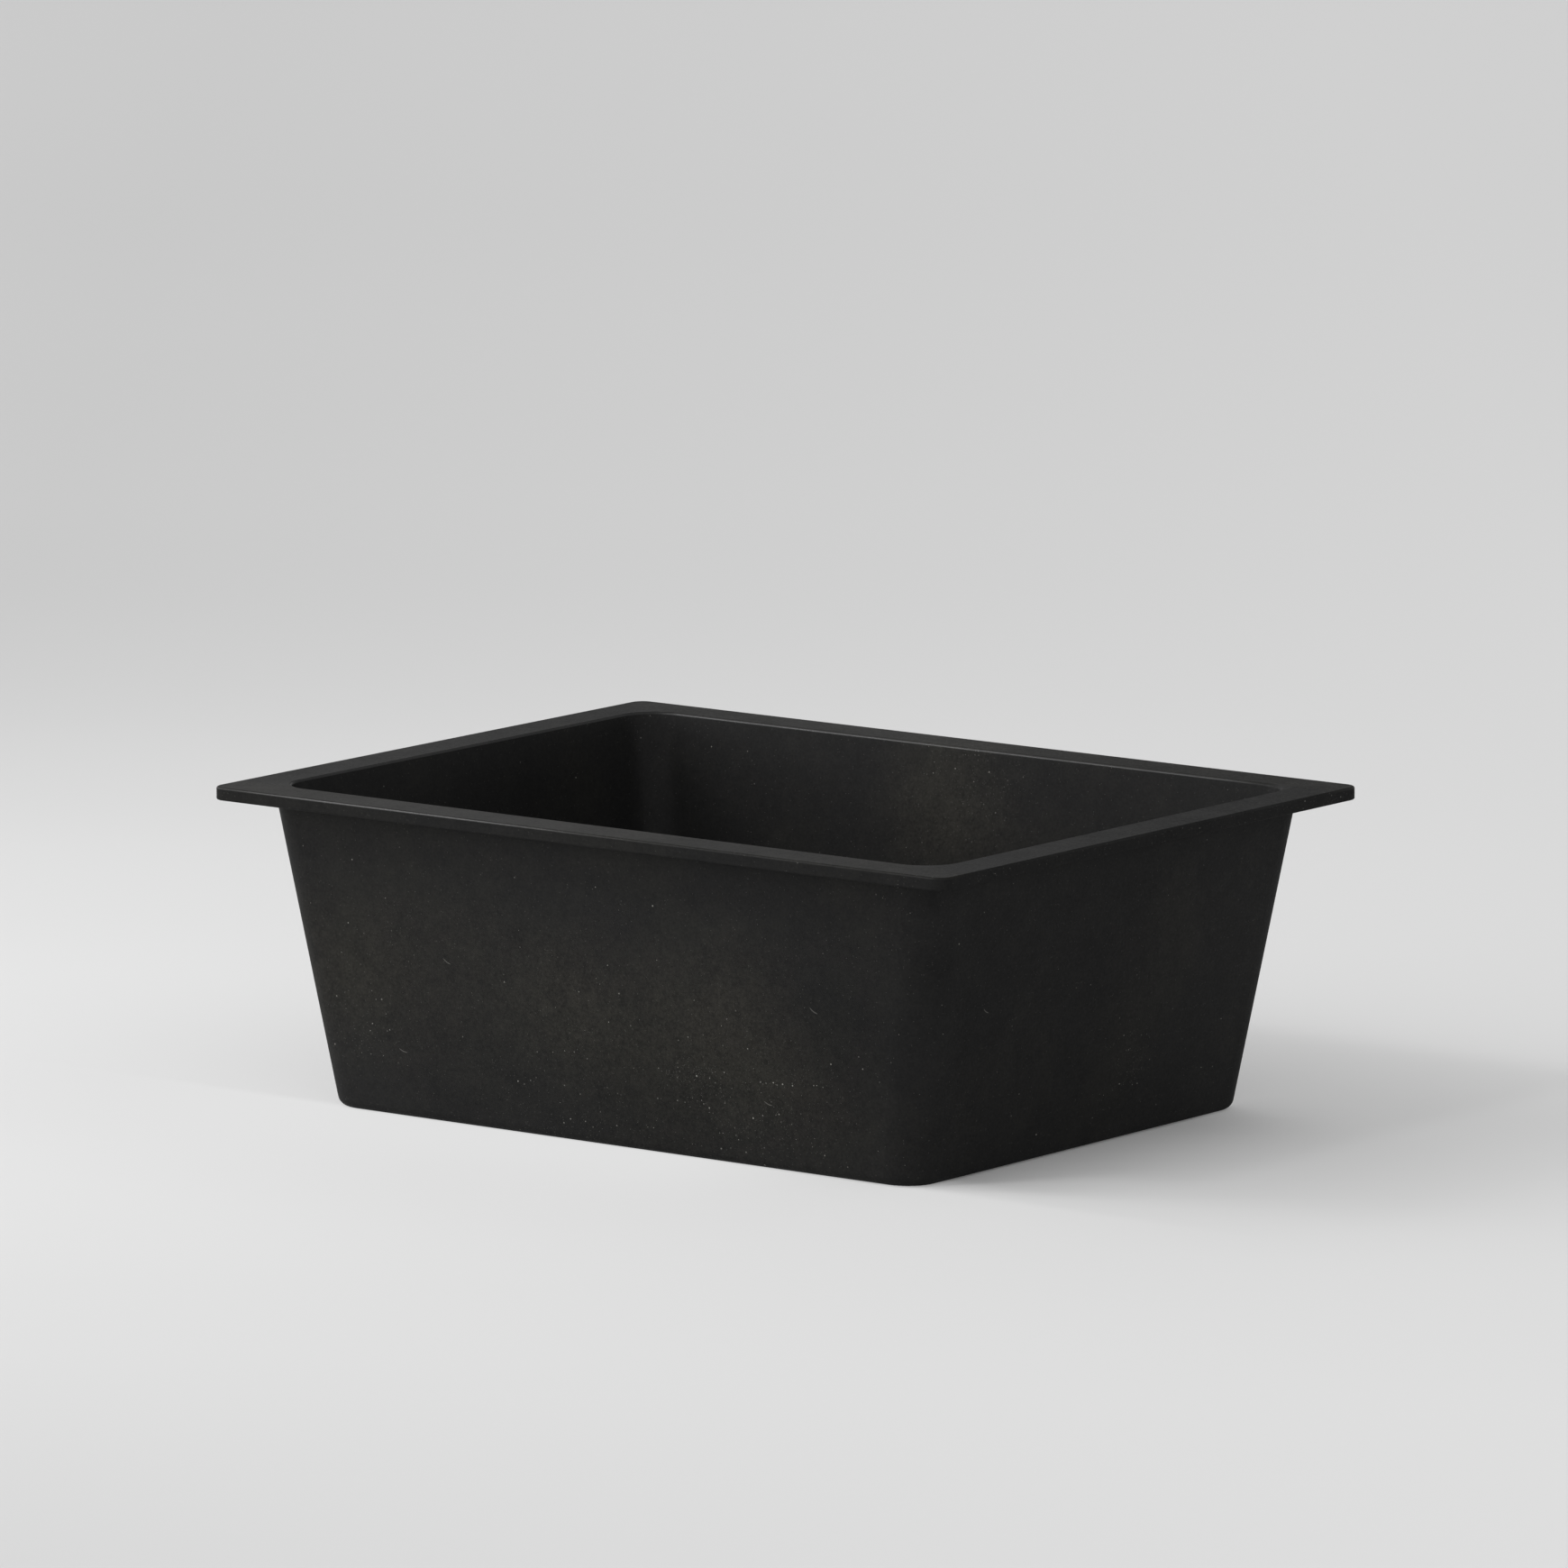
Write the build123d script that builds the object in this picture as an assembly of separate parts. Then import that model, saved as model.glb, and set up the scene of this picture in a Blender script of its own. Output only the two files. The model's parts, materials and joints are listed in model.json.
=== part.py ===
"""Granite kitchen sink: bowl and rim cast in one, standing on its walls, with a basket waste in its floor.

Millimetres. The origin is the middle of the foot plane, +X runs along the long side, +Y to the back and +Z up.
"""

import math
import os

from build123d import *

# Rim
RIM_WIDTH = 650.0
RIM_DEPTH = 499.0
HEIGHT = 232.0
RIM_THICKNESS = 9.5
RIM_OVERHANG = 25.5
RIM_CORNER_RADIUS = 10.8
RIM_TOP_ROUND = 1.6
RIM_LOWER_ROUND = 1.2

# Bowl walls, measured level, which lean in from the rim to the foot
WALL = 9.2
END_WALL_LEAN = 36.0
LONG_WALL_LEAN = 25.5
BOWL_CORNER_RADIUS = 28.0
UNDER_RIM_FILLET = 4.0
FOOT_ROUND = 8.0
FOOT_THICKNESS = 13.0

# Basin, and the hollow below its floor
BASIN_CORNER_RADIUS = 27.0
BASIN_FLOOR_RADIUS = 16.0
OPENING_ROUND = 2.4
FLOOR_THICKNESS = 9.5
DISH_DEPTH = 3.0
DISH_MARGIN = 25.0
HOLLOW_DRAFT = 1.5
HOLLOW_CORNER_RADIUS = 18.0

# Drain in the floor
DRAIN_HOLE_RADIUS = 45.0
DRAIN_FLOOR_THICKNESS = 10.0
CLAMP_LAND = 12.0
BOSS_MARGIN = 6.0

# Threaded inserts in the underside of the rim
INSERT_RADIUS = 3.5
INSERT_LENGTH = 6.0
INSERT_THREAD_RADIUS = 2.5
SEATING_CLEARANCE = 0.03
INSERT_EDGE_GAP = 12.0
INSERT_END_GAP = 125.0

# Waste body, from its outlet up
OUTLET_LIFT = 4.0
OUTLET_RADIUS = 23.9
OUTLET_BORE_RADIUS = 20.0
OUTLET_LENGTH = 14.0
CONE_HEIGHT = 12.0
BARREL_HEIGHT = 20.0
BODY_RIM_HEIGHT = 6.0
BODY_WALL = 3.0
BODY_CLEARANCE = 4.0
BODY_GASKET_THICKNESS = 4.0
GASKET_SETBACK = 1.0
HUB_RADIUS = 10.0
HUB_LIP = 2.0
SPOKE_COUNT = 3
SPOKE_WIDTH = 4.0
SPOKE_HEIGHT = 7.0
NUT_INSERT_RADIUS = 6.5
NUT_INSERT_LENGTH = 10.0

# Clamp bolt
BOLT_RADIUS = 4.0
BOLT_HEAD_RADIUS = 8.0
BOLT_HEAD_HEIGHT = 3.0
BOLT_SOCKET_FLATS = 5.0
BOLT_SOCKET_DEPTH = 2.0
BOLT_TAIL = 2.0
BOLT_HOLE_CLEARANCE = 0.5
THREAD_CLEARANCE = 0.05
BOLT_WASHER_RADIUS = 9.5
BOLT_WASHER_THICKNESS = 1.0

# Strainer cup of pressed sheet: a flange, a step for the basket's lip and a seat for the stopper
FLANGE_CLEARANCE = 0.8
FLANGE_GASKET_THICKNESS = 1.5
CUP_SHEET = 1.2
CUP_HOLE_CLEARANCE = 1.2
STEP_WIDTH = 4.0
SEAT_WIDTH = 7.6
CUP_DRAIN_COUNT = 8
CUP_DRAIN_RADIUS = 4.5
SHEET_ROUND = 0.35

# Basket
BASKET_SHEET = 0.8
BASKET_CLEARANCE = 0.6
BASKET_DEPTH = 17.0
BASKET_LEAN = 3.0
BASKET_ROUND = 0.25
LIP_DROP = 1.6
DOME_RADIUS = 13.0
DOME_LEAN = 1.5
BASKET_HOLE_RADIUS = 1.6
FLOOR_HOLE_GAP = 5.5
WALL_HOLE_COUNT = 26
WALL_HOLE_ROWS = 2

# Guide bush in the basket's dome
BUSH_RADIUS = 6.0
BUSH_LENGTH = 5.0
BUSH_FLANGE_RADIUS = 8.0
BUSH_FLANGE_THICKNESS = 1.0
RUNNING_CLEARANCE = 0.08

# Stopper
STOPPER_TRAVEL = 7.0
TRAVEL_GAP = 0.4
SEAL_THICKNESS = 3.5
SEAL_OVERLAP = 4.5
PLATE_THICKNESS = 1.2
PLATE_SETBACK = 4.5
SPINDLE_RADIUS = 3.5
SPINDLE_HEAD_RADIUS = 9.0
SPINDLE_HEAD_HEIGHT = 1.5
HEAD_GAP = 1.0
STACK_CLEARANCE = 0.05
NUT_FLATS = 11.0
NUT_HEIGHT = 3.0
RING_SECTION_RADIUS = 0.6
RING_PROUD = 0.04
KNOB_RADIUS = 10.5
KNOB_NECK_RADIUS = 6.5
KNOB_NECK_HEIGHT = 5.0
KNOB_HEIGHT = 14.0
KNOB_GRIP = 9.0
KNOB_GAP = 0.6
KNOB_ROUND = 1.5

# Heights above the foot plane
RIM_UNDERSIDE = HEIGHT - RIM_THICKNESS
SPIGOT_TOP = OUTLET_LIFT + OUTLET_LENGTH
CONE_TOP = SPIGOT_TOP + CONE_HEIGHT
BODY_RIM_UNDERSIDE = CONE_TOP + BARREL_HEIGHT
BODY_TOP = BODY_RIM_UNDERSIDE + BODY_RIM_HEIGHT
DRAIN_UNDERSIDE = BODY_TOP + BODY_GASKET_THICKNESS
RECESS_FLOOR = DRAIN_UNDERSIDE + DRAIN_FLOOR_THICKNESS
FLANGE_UNDERSIDE = RECESS_FLOOR + FLANGE_GASKET_THICKNESS
FLANGE_TOP = FLANGE_UNDERSIDE + CUP_SHEET
BASIN_FLOOR = FLANGE_TOP + DISH_DEPTH
HOLLOW_CEILING = BASIN_FLOOR - FLOOR_THICKNESS
STEP_TOP = FLANGE_TOP - LIP_DROP - BASKET_SHEET
BASKET_UNDERSIDE = STEP_TOP - BASKET_DEPTH
PLATE_TOP = BASKET_UNDERSIDE - TRAVEL_GAP - STOPPER_TRAVEL
SEAT_TOP = PLATE_TOP - PLATE_THICKNESS - SEAL_THICKNESS
BOLT_HEAD_TOP = SEAT_TOP - SPINDLE_HEAD_HEIGHT - HEAD_GAP
BOLT_HEAD_UNDERSIDE = BOLT_HEAD_TOP - BOLT_HEAD_HEIGHT
CUP_FLOOR = BOLT_HEAD_UNDERSIDE - BOLT_WASHER_THICKNESS
HUB_TOP = CUP_FLOOR - CUP_SHEET
HUB_BOTTOM = HUB_TOP - HUB_LIP - NUT_INSERT_LENGTH
BUSH_BOTTOM = BASKET_UNDERSIDE + NUT_HEIGHT
DOME_TOP = BUSH_BOTTOM + BUSH_LENGTH
KNOB_BOTTOM = DOME_TOP + BUSH_FLANGE_THICKNESS + KNOB_GAP

# Radii of the waste, from the drain hole in
CUP_MOUTH_RADIUS = DRAIN_HOLE_RADIUS - CUP_HOLE_CLEARANCE - CUP_SHEET
CUP_WALL_RADIUS = CUP_MOUTH_RADIUS - STEP_WIDTH
CUP_WELL_RADIUS = CUP_WALL_RADIUS - SEAT_WIDTH
BODY_BORE_RADIUS = CUP_WALL_RADIUS + CUP_SHEET + BODY_CLEARANCE
FLANGE_RADIUS = DRAIN_HOLE_RADIUS + CLAMP_LAND
BODY_RIM_RADIUS = FLANGE_RADIUS
RECESS_RADIUS = FLANGE_RADIUS + FLANGE_CLEARANCE
BASKET_WALL_RADIUS = CUP_WALL_RADIUS - BASKET_CLEARANCE
BASKET_FLOOR_RADIUS = BASKET_WALL_RADIUS - BASKET_LEAN
SEAL_RADIUS = CUP_WELL_RADIUS + SEAL_OVERLAP
BOLT_HOLE_RADIUS = BOLT_RADIUS + BOLT_HOLE_CLEARANCE
BUSH_BORE_RADIUS = SPINDLE_RADIUS + RUNNING_CLEARANCE


def wall_size(z, inset):
    """Width and depth of the outer wall planes at height z, less an inset on every side."""
    share = 1 - z / RIM_UNDERSIDE
    width = RIM_WIDTH - 2 * (RIM_OVERHANG + END_WALL_LEAN * share + inset)
    depth = RIM_DEPTH - 2 * (RIM_OVERHANG + LONG_WALL_LEAN * share + inset)
    return width, depth


def leaning_block(lower_size, lower_z, upper_size, upper_z, corner_radius):
    """Block with flat leaning sides between two level rectangles, its four upright edges rounded."""
    signs = [(-1, -1), (1, -1), (1, 1), (-1, 1)]
    lower = [Vector(x * lower_size[0] / 2, y * lower_size[1] / 2, lower_z) for x, y in signs]
    upper = [Vector(x * upper_size[0] / 2, y * upper_size[1] / 2, upper_z) for x, y in signs]
    faces = [Face(Wire.make_polygon(lower)), Face(Wire.make_polygon(upper))]
    for i in range(len(signs)):
        j = (i + 1) % len(signs)
        faces.append(Face(Wire.make_polygon([lower[i], lower[j], upper[j], upper[i]])))
    block = Part() + Solid(Shell(faces))
    upright = [edge for edge in block.edges() if edge.bounding_box().size.Z > (upper_z - lower_z) / 2]
    return fillet(upright, corner_radius)


def edges_at(shape, z):
    """Edges of a shape that lie level at height z."""
    near = 1e-3
    return shape.edges().filter_by(lambda edge: all(abs(vertex.Z - z) < near for vertex in edge.vertices()))


def turned(points, round_radius=0.0):
    """Ring turned about Z from an outline of (radius, height) points, its edges rounded."""
    outline = make_face(Polyline(*[(r, 0, z) for r, z in points], close=True))
    if round_radius:
        outline = fillet(outline.vertices(), round_radius)
    return revolve(outline, Axis.Z)


def drum(radius, lower_z, upper_z):
    """Upright cylinder between two heights."""
    standing = (Align.CENTER, Align.CENTER, Align.MIN)
    return Pos(0, 0, lower_z) * Cylinder(radius, upper_z - lower_z, align=standing)


def hexagon(flats, lower_z, upper_z):
    """Upright hexagonal bar between two heights."""
    bar = RegularPolygon(flats / 2, 6, major_radius=False)
    return Pos(0, 0, lower_z) * extrude(bar, upper_z - lower_z)


def round_about(shape, count, first_angle=0.0):
    """Copies of a shape turned about Z, as a list."""
    return [Rot(0, 0, first_angle + 360 * i / count) * shape for i in range(count)]


def insert_places():
    """Where the rim inserts sit: three along each long side and one at the middle of each end."""
    x_corner = RIM_WIDTH / 2 - INSERT_END_GAP
    x_end = RIM_WIDTH / 2 - INSERT_EDGE_GAP
    y_side = RIM_DEPTH / 2 - INSERT_EDGE_GAP
    sides = [(x, y) for y in (-y_side, y_side) for x in (-x_corner, 0, x_corner)]
    return sides + [(-x_end, 0), (x_end, 0)]


def bowl_outside():
    """Rim slab on the leaning bowl, with its outer edges rounded."""
    bowl = leaning_block(wall_size(0, 0), 0, wall_size(RIM_UNDERSIDE, 0), RIM_UNDERSIDE, BOWL_CORNER_RADIUS)
    bowl = fillet(edges_at(bowl, 0), FOOT_ROUND)
    slab = extrude(RectangleRounded(RIM_WIDTH, RIM_DEPTH, RIM_CORNER_RADIUS), RIM_THICKNESS)
    slab = fillet(edges_at(slab, RIM_THICKNESS), RIM_TOP_ROUND)
    slab = fillet(edges_at(slab, 0), RIM_LOWER_ROUND)
    outside = bowl + Pos(0, 0, RIM_UNDERSIDE) * slab
    reach = RIM_WIDTH / 2 - RIM_OVERHANG / 2
    side = RIM_DEPTH / 2 - RIM_OVERHANG / 2
    corner = [
        edge
        for edge in edges_at(outside, RIM_UNDERSIDE)
        if abs(edge.center().X) < reach and abs(edge.center().Y) < side
    ]
    return fillet(corner, UNDER_RIM_FILLET)


def basin():
    """Space inside the bowl: leaning sides, rounded floor edges and a shallow dish towards the drain."""
    floor_size = wall_size(BASIN_FLOOR, WALL)
    mouth = HEIGHT + RIM_THICKNESS
    space = leaning_block(floor_size, BASIN_FLOOR, wall_size(mouth, WALL), mouth, BASIN_CORNER_RADIUS)
    space = fillet(edges_at(space, BASIN_FLOOR), BASIN_FLOOR_RADIUS)
    dish_radius = floor_size[1] / 2 - BASIN_FLOOR_RADIUS - DISH_MARGIN
    dish = [(0, FLANGE_TOP), (RECESS_RADIUS, FLANGE_TOP), (dish_radius, BASIN_FLOOR), (0, BASIN_FLOOR)]
    return space + turned(dish)


def hollow():
    """Space below the floor, open at the foot, with the boss round the drain left standing."""
    lower = wall_size(0, FOOT_THICKNESS)
    upper = wall_size(0, FOOT_THICKNESS + HOLLOW_DRAFT)
    space = leaning_block(lower, 0, upper, HOLLOW_CEILING, HOLLOW_CORNER_RADIUS)
    return space - drum(BODY_RIM_RADIUS + BOSS_MARGIN, DRAIN_UNDERSIDE, HOLLOW_CEILING)


def sink_bowl():
    """Casting: rim, walls, floor and foot in one piece."""
    bowl = bowl_outside() - basin() - hollow()
    bowl = bowl - drum(RECESS_RADIUS, RECESS_FLOOR, BASIN_FLOOR)
    bowl = bowl - drum(DRAIN_HOLE_RADIUS, 0, BASIN_FLOOR)
    width, depth = wall_size(HEIGHT, WALL)
    opening = [
        edge
        for edge in edges_at(bowl, HEIGHT)
        if abs(edge.center().X) < width / 2 + OPENING_ROUND and abs(edge.center().Y) < depth / 2 + OPENING_ROUND
    ]
    bowl = fillet(opening, OPENING_ROUND)
    hole = drum(INSERT_RADIUS, RIM_UNDERSIDE, RIM_UNDERSIDE + INSERT_LENGTH)
    return bowl - [Pos(x, y, 0) * hole for x, y in insert_places()]


def rim_inserts():
    """Brass inserts cast into the rim, open below for the clip screws."""
    top = RIM_UNDERSIDE + INSERT_LENGTH
    insert = drum(INSERT_RADIUS - SEATING_CLEARANCE, RIM_UNDERSIDE, top)
    insert = insert - drum(INSERT_THREAD_RADIUS, RIM_UNDERSIDE, top)
    return Compound([Pos(x, y, 0) * insert.solid() for x, y in insert_places()])


def waste_body():
    """Moulded body: threaded outlet, cone, barrel and rim, with a hub on spokes for the clamp bolt."""
    barrel_radius = BODY_BORE_RADIUS + BODY_WALL
    outside = [
        (OUTLET_RADIUS, OUTLET_LIFT),
        (OUTLET_RADIUS, SPIGOT_TOP),
        (barrel_radius, CONE_TOP),
        (barrel_radius, BODY_RIM_UNDERSIDE),
        (BODY_RIM_RADIUS, BODY_RIM_UNDERSIDE),
        (BODY_RIM_RADIUS, BODY_TOP),
    ]
    inside = [
        (BODY_BORE_RADIUS, BODY_TOP),
        (BODY_BORE_RADIUS, CONE_TOP + BODY_WALL / 2),
        (OUTLET_BORE_RADIUS, SPIGOT_TOP + BODY_WALL / 2),
        (OUTLET_BORE_RADIUS, OUTLET_LIFT),
    ]
    envelope = turned([(0, OUTLET_LIFT), *outside, (0, BODY_TOP)])
    spoke = Pos(0, 0, HUB_BOTTOM) * Box(
        barrel_radius, SPOKE_WIDTH, SPOKE_HEIGHT, align=(Align.MIN, Align.CENTER, Align.MIN)
    )
    body = turned(outside + inside)
    for arm in round_about(spoke, SPOKE_COUNT):
        body = body + (arm & envelope)
    body = body + drum(HUB_RADIUS, HUB_BOTTOM, HUB_TOP)
    body = body - drum(NUT_INSERT_RADIUS, HUB_BOTTOM, HUB_BOTTOM + NUT_INSERT_LENGTH)
    return body - drum(BOLT_HOLE_RADIUS, HUB_BOTTOM, HUB_TOP)


def body_insert():
    """Brass nut in the hub of the waste body."""
    top = HUB_BOTTOM + NUT_INSERT_LENGTH
    nut = drum(NUT_INSERT_RADIUS - SEATING_CLEARANCE, HUB_BOTTOM, top)
    return nut - drum(BOLT_RADIUS + THREAD_CLEARANCE, HUB_BOTTOM, top)


def body_gasket():
    """Rubber ring between the waste body and the underside of the floor."""
    inner = DRAIN_HOLE_RADIUS + GASKET_SETBACK
    return drum(BODY_RIM_RADIUS, BODY_TOP, DRAIN_UNDERSIDE) - drum(inner, BODY_TOP, DRAIN_UNDERSIDE)


def flange_gasket():
    """Ring between the strainer's flange and the recess."""
    outer = FLANGE_RADIUS - GASKET_SETBACK
    inner = DRAIN_HOLE_RADIUS + GASKET_SETBACK
    return drum(outer, RECESS_FLOOR, FLANGE_UNDERSIDE) - drum(inner, RECESS_FLOOR, FLANGE_UNDERSIDE)


def strainer_cup():
    """Pressed cup: flange, step, seat and a floor with drain holes round the bolt."""
    points = [
        (FLANGE_RADIUS, FLANGE_TOP),
        (CUP_MOUTH_RADIUS, FLANGE_TOP),
        (CUP_MOUTH_RADIUS, STEP_TOP),
        (CUP_WALL_RADIUS, STEP_TOP),
        (CUP_WALL_RADIUS, SEAT_TOP),
        (CUP_WELL_RADIUS, SEAT_TOP),
        (CUP_WELL_RADIUS, CUP_FLOOR),
        (BOLT_HOLE_RADIUS, CUP_FLOOR),
        (BOLT_HOLE_RADIUS, HUB_TOP),
        (CUP_WELL_RADIUS + CUP_SHEET, HUB_TOP),
        (CUP_WELL_RADIUS + CUP_SHEET, SEAT_TOP - CUP_SHEET),
        (CUP_WALL_RADIUS + CUP_SHEET, SEAT_TOP - CUP_SHEET),
        (CUP_WALL_RADIUS + CUP_SHEET, STEP_TOP - CUP_SHEET),
        (CUP_MOUTH_RADIUS + CUP_SHEET, STEP_TOP - CUP_SHEET),
        (CUP_MOUTH_RADIUS + CUP_SHEET, FLANGE_UNDERSIDE),
        (FLANGE_RADIUS, FLANGE_UNDERSIDE),
    ]
    cup = turned(points, SHEET_ROUND)
    pitch_radius = (BOLT_WASHER_RADIUS + CUP_WELL_RADIUS) / 2
    hole = Pos(pitch_radius, 0, 0) * drum(CUP_DRAIN_RADIUS, HUB_TOP, CUP_FLOOR)
    return cup - round_about(hole, CUP_DRAIN_COUNT, 180 / CUP_DRAIN_COUNT)


def clamp_bolt():
    """Screw with a low round head and a hexagon socket."""
    bolt = drum(BOLT_HEAD_RADIUS, BOLT_HEAD_UNDERSIDE, BOLT_HEAD_TOP)
    bolt = bolt + drum(BOLT_RADIUS, HUB_BOTTOM - BOLT_TAIL, BOLT_HEAD_UNDERSIDE)
    return bolt - hexagon(BOLT_SOCKET_FLATS, BOLT_HEAD_TOP - BOLT_SOCKET_DEPTH, BOLT_HEAD_TOP)


def bolt_washer():
    """Sealing washer under the bolt's head."""
    washer = drum(BOLT_WASHER_RADIUS, CUP_FLOOR, BOLT_HEAD_UNDERSIDE)
    return washer - drum(BOLT_HOLE_RADIUS, CUP_FLOOR, BOLT_HEAD_UNDERSIDE)


def basket_cup():
    """Perforated basket: a lip, a leaning wall, a floor and a dome in its middle for the guide bush."""
    lip_radius = CUP_MOUTH_RADIUS - BASKET_CLEARANCE
    dome_top_radius = DOME_RADIUS - DOME_LEAN
    points = [
        (lip_radius, STEP_TOP),
        (lip_radius, STEP_TOP + BASKET_SHEET),
        (BASKET_WALL_RADIUS - BASKET_SHEET, STEP_TOP + BASKET_SHEET),
        (BASKET_FLOOR_RADIUS - BASKET_SHEET, BASKET_UNDERSIDE + BASKET_SHEET),
        (DOME_RADIUS, BASKET_UNDERSIDE + BASKET_SHEET),
        (dome_top_radius, DOME_TOP),
        (BUSH_RADIUS, DOME_TOP),
        (BUSH_RADIUS, DOME_TOP - BASKET_SHEET),
        (dome_top_radius - BASKET_SHEET, DOME_TOP - BASKET_SHEET),
        (DOME_RADIUS - BASKET_SHEET, BASKET_UNDERSIDE),
        (BASKET_FLOOR_RADIUS, BASKET_UNDERSIDE),
        (BASKET_WALL_RADIUS, STEP_TOP),
    ]
    basket = turned(points, BASKET_ROUND)
    return basket - floor_holes() - wall_holes()


def floor_holes():
    """Rings of holes that fill the basket's floor between dome and wall."""
    hole = drum(BASKET_HOLE_RADIUS, BASKET_UNDERSIDE, BASKET_UNDERSIDE + BASKET_SHEET)
    inner = DOME_RADIUS + FLOOR_HOLE_GAP / 2 + BASKET_HOLE_RADIUS / 2
    outer = BASKET_FLOOR_RADIUS - 2 * BASKET_SHEET - BASKET_HOLE_RADIUS
    ring_count = int((outer - inner) / FLOOR_HOLE_GAP) + 1
    holes = []
    for i in range(ring_count):
        radius = inner + i * FLOOR_HOLE_GAP
        count = int(2 * math.pi * radius / FLOOR_HOLE_GAP)
        holes += round_about(Pos(radius, 0, 0) * hole, count)
    return holes


def wall_holes():
    """Staggered rows of holes through the basket's wall."""
    holes = []
    for row in range(WALL_HOLE_ROWS):
        share = (row + 1) / (WALL_HOLE_ROWS + 1)
        radius = BASKET_FLOOR_RADIUS + BASKET_LEAN * share
        bar = Cylinder(BASKET_HOLE_RADIUS, 2 * (BASKET_SHEET + BASKET_HOLE_RADIUS))
        hole = Pos(radius, 0, BASKET_UNDERSIDE + BASKET_DEPTH * share) * Rot(0, 90, 0) * bar
        holes += round_about(hole, WALL_HOLE_COUNT, row * 180 / WALL_HOLE_COUNT)
    return holes


def guide_bush():
    """Flanged bush in the basket's dome, in which the spindle slides."""
    bush = drum(BUSH_RADIUS - SEATING_CLEARANCE, BUSH_BOTTOM, DOME_TOP)
    bush = bush + drum(BUSH_FLANGE_RADIUS, DOME_TOP, DOME_TOP + BUSH_FLANGE_THICKNESS)
    return bush - drum(BUSH_BORE_RADIUS, BUSH_BOTTOM, DOME_TOP + BUSH_FLANGE_THICKNESS)


def stopper_seal():
    """Rubber disc that closes on the seat."""
    top = SEAT_TOP + SEAL_THICKNESS
    return drum(SEAL_RADIUS, SEAT_TOP, top) - drum(SPINDLE_RADIUS + STACK_CLEARANCE, SEAT_TOP, top)


def seal_plate():
    """Plate that presses the rubber disc flat."""
    bottom = SEAT_TOP + SEAL_THICKNESS
    plate = drum(SEAL_RADIUS - PLATE_SETBACK, bottom, PLATE_TOP)
    return plate - drum(SPINDLE_RADIUS + STACK_CLEARANCE, bottom, PLATE_TOP)


def ring_height():
    """Height of the rubber ring, which stands in the middle of the bush when the stopper is up."""
    return (BUSH_BOTTOM + DOME_TOP) / 2 - STOPPER_TRAVEL


def stopper_spindle():
    """Stem with a flat head under the seal, a groove for the rubber ring and its top in the knob."""
    spindle = drum(SPINDLE_HEAD_RADIUS, SEAT_TOP - SPINDLE_HEAD_HEIGHT, SEAT_TOP)
    spindle = spindle + drum(SPINDLE_RADIUS, SEAT_TOP, KNOB_BOTTOM + KNOB_GRIP)
    groove_radius = SPINDLE_RADIUS + RING_PROUD - 2 * RING_SECTION_RADIUS - STACK_CLEARANCE
    half_width = RING_SECTION_RADIUS + STACK_CLEARANCE
    lower = ring_height() - half_width
    upper = ring_height() + half_width
    return spindle - (drum(SPINDLE_HEAD_RADIUS, lower, upper) - drum(groove_radius, lower, upper))


def spindle_ring():
    """Rubber ring in the spindle's groove."""
    centre_radius = SPINDLE_RADIUS + RING_PROUD - RING_SECTION_RADIUS
    return Pos(0, 0, ring_height()) * Torus(centre_radius, RING_SECTION_RADIUS)


def spindle_nut():
    """Nut that clamps plate and seal to the spindle's head."""
    top = PLATE_TOP + NUT_HEIGHT
    return hexagon(NUT_FLATS, PLATE_TOP, top) - drum(SPINDLE_RADIUS + STACK_CLEARANCE, PLATE_TOP, top)


def stopper_knob():
    """Turned knob with a slim neck, screwed on the spindle's top."""
    bore_radius = SPINDLE_RADIUS + STACK_CLEARANCE
    top = KNOB_BOTTOM + KNOB_HEIGHT
    points = [
        (0, KNOB_BOTTOM),
        (KNOB_NECK_RADIUS, KNOB_BOTTOM),
        (KNOB_NECK_RADIUS, KNOB_BOTTOM + KNOB_NECK_HEIGHT),
        (KNOB_RADIUS, KNOB_BOTTOM + KNOB_NECK_HEIGHT + KNOB_RADIUS - KNOB_NECK_RADIUS),
        (KNOB_RADIUS, top),
        (0, top),
    ]
    knob = turned(points)
    knob = fillet(edges_at(knob, top), KNOB_ROUND)
    return knob - drum(bore_radius, KNOB_BOTTOM, KNOB_BOTTOM + KNOB_GRIP)


PIECES = [
    sink_bowl,
    rim_inserts,
    strainer_cup,
    flange_gasket,
    body_gasket,
    waste_body,
    body_insert,
    clamp_bolt,
    bolt_washer,
    basket_cup,
    guide_bush,
    stopper_seal,
    seal_plate,
    stopper_spindle,
    spindle_ring,
    spindle_nut,
    stopper_knob,
]


def main():
    """Writes one file for each piece."""
    os.makedirs("parts", exist_ok=True)
    for piece in PIECES:
        export_step(piece(), f"parts/{piece.__name__}.step")


if __name__ == "__main__":
    main()
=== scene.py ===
"""Granite kitchen sink with a basket waste: its finishes, a pale floor, soft light and the camera."""

import json
import math

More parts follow.
